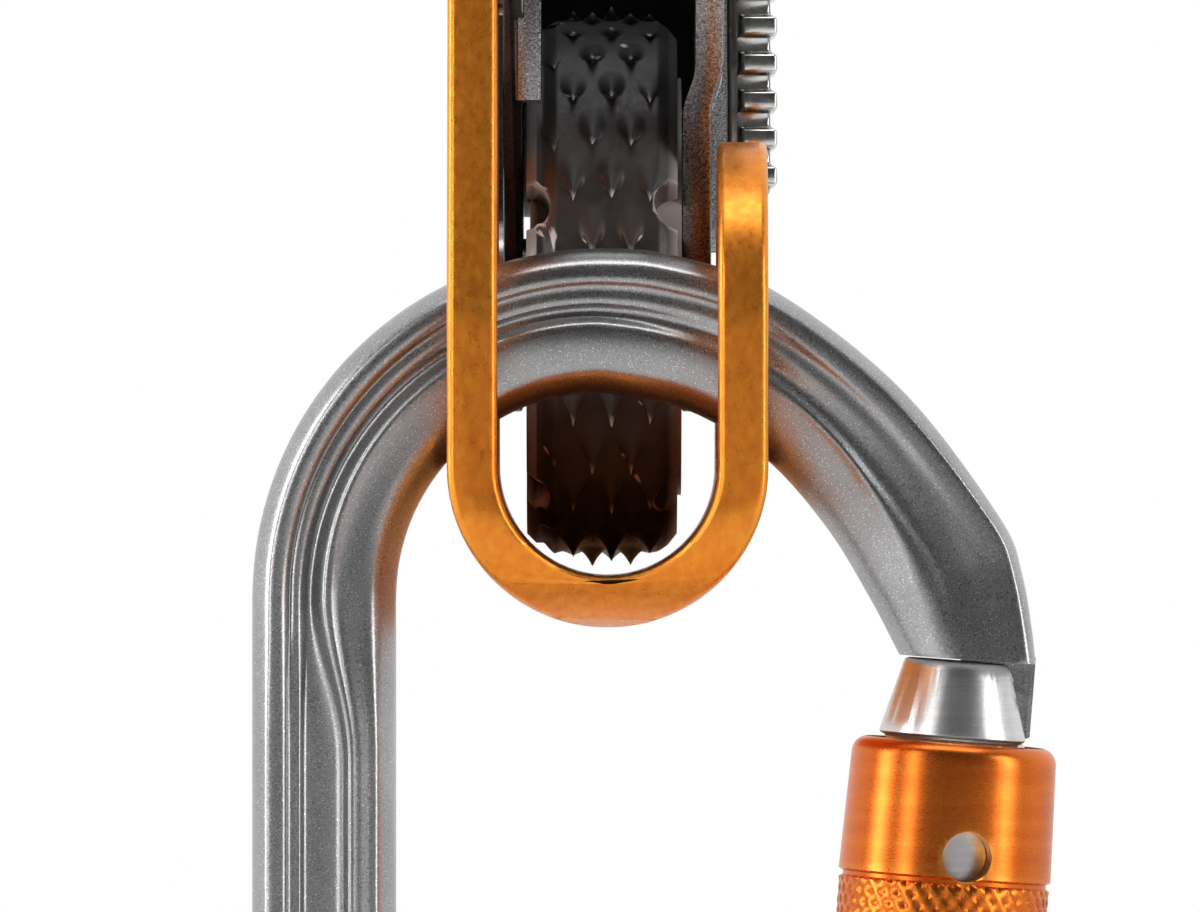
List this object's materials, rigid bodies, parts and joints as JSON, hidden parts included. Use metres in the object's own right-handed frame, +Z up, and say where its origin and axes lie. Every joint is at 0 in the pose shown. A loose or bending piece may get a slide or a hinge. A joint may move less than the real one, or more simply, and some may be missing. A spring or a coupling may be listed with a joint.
{
  "type": "belay device",
  "caption": "Toothed-wheel rope grab: a locking wheel in a dark frame, an orange J-shaped jaw arm that swings onto the rope, and an oval auto-locking connector.",
  "frame": {"origin": "centre of the arm's round rope bend, in the plane of the wheel's axle", "axes": "+X across the device to the side of the ribbed catch and the gate, +Y down the rope in use, +Z up, from the rope towards the arm's pivot; the connector hangs towards -Z"},
  "size_m": [0.0646, 0.0786, 0.1535],
  "materials": {
    "dark_steel": "blackened, satin",
    "bright_steel": "ground, bright",
    "frame_sheet": "fine-blasted",
    "frame_block": "black anodised, satin",
    "arm_metal": "orange anodised, satin",
    "forged_metal": "bead-blasted, matte",
    "gate_metal": "turned, bright",
    "sleeve_metal": "orange anodised, satin",
    "spring_wire": "bright wire",
    "bronze": "plain bearing bronze",
    "grip_plastic": "satin, ribbed"
  },
  "bodies": {
    "frame": {"left_cheek": "frame_sheet", "right_cheek": "frame_sheet", "back_bridge": "frame_block", "frame_screws": "bright_steel", "pivot_pin": "bright_steel", "pivot_screw": "bright_steel", "arm_spring": "spring_wire", "stop_pin": "bright_steel", "wheel_axle": "bright_steel", "axle_screw": "bright_steel", "axle_spacers": "bright_steel", "catch_pin": "bright_steel", "ratchet_ring": "dark_steel", "ring_bolts": "bright_steel", "bearing_inner_race": "bright_steel", "catch_spring": "spring_wire"},
    "wheel": {"bearing_outer_race": "bright_steel", "bearing_balls": "bright_steel", "toothed_rim": "dark_steel", "wheel_hub": "dark_steel", "hub_rivets": "bright_steel", "flyweight_pins": "bright_steel"},
    "weight_a": {"flyweight_a": "bright_steel"},
    "weight_b": {"flyweight_b": "bright_steel"},
    "arm": {"arm_plate": "arm_metal", "arm_bush": "bronze"},
    "catch": {"catch_lever": "grip_plastic"},
    "connector": {"connector_body": "forged_metal", "gate_rivet": "bright_steel"},
    "gate": {"gate_bar": "gate_metal", "gate_plunger": "bright_steel", "gate_spring": "spring_wire", "sleeve_stop_ring": "gate_metal", "sleeve_spring": "spring_wire"},
    "collar": {"sleeve_collar": "gate_metal"},
    "sleeve": {"lock_sleeve": "sleeve_metal"}
  },
  "joints": [
    {"name": "wheel_spin", "type": "hinge", "parent": "frame", "child": "wheel", "pos_m": [0, 0, 0.01474], "axis": [1, 0, 0], "continuous": true},
    {"name": "weight_a_swing", "type": "hinge", "parent": "wheel", "child": "weight_a", "pos_m": [0, 0.0104, 0.01474], "axis": [-1, 0, 0], "range_deg": [0, 7.5], "stiffness_Nm_per_rad": 0.002, "springref_deg": -34.38},
    {"name": "weight_b_swing", "type": "hinge", "parent": "wheel", "child": "weight_b", "pos_m": [0, -0.0104, 0.01474], "axis": [-1, 0, 0], "range_deg": [0, 7.5], "stiffness_Nm_per_rad": 0.002, "springref_deg": -34.38},
    {"name": "arm_swing", "type": "hinge", "parent": "frame", "child": "arm", "pos_m": [0, -0.024, 0.05204], "axis": [-1, 0, 0], "range_deg": [0, 60], "stiffness_Nm_per_rad": 0.06, "springref_deg": -22.92},
    {"name": "catch_swing", "type": "hinge", "parent": "frame", "child": "catch", "pos_m": [0, 0.004, 0.05004], "axis": [1, 0, 0], "range_deg": [0, 28], "stiffness_Nm_per_rad": 0.02, "springref_deg": -28.65},
    {"name": "connector_swing", "type": "hinge", "parent": "arm", "child": "connector", "pos_m": [0, -0.031, 0.01144], "axis": [-1, 0, 0], "range_deg": [-60, 60]},
    {"name": "gate_swing", "type": "hinge", "parent": "connector", "child": "gate", "pos_m": [0.02445, -0.031, -0.06456], "axis": [0, -1, 0], "range_deg": [0, 22], "stiffness_Nm_per_rad": 0.12, "springref_deg": -22.92},
    {"name": "sleeve_slide", "type": "slide", "parent": "gate", "child": "collar", "axis": [-0.0785, 0, -0.9969], "range_m": [0, 0.005], "stiffness_N_per_m": 300, "springref_m": -0.006, "deforming": ["sleeve_spring"]},
    {"name": "sleeve_twist", "type": "hinge", "parent": "collar", "child": "sleeve", "pos_m": [0.02445, -0.031, -0.06456], "axis": [0.0785, 0, 0.9969], "range_deg": [0, 90], "stiffness_Nm_per_rad": 0.01, "springref_deg": -34.38}
  ]
}
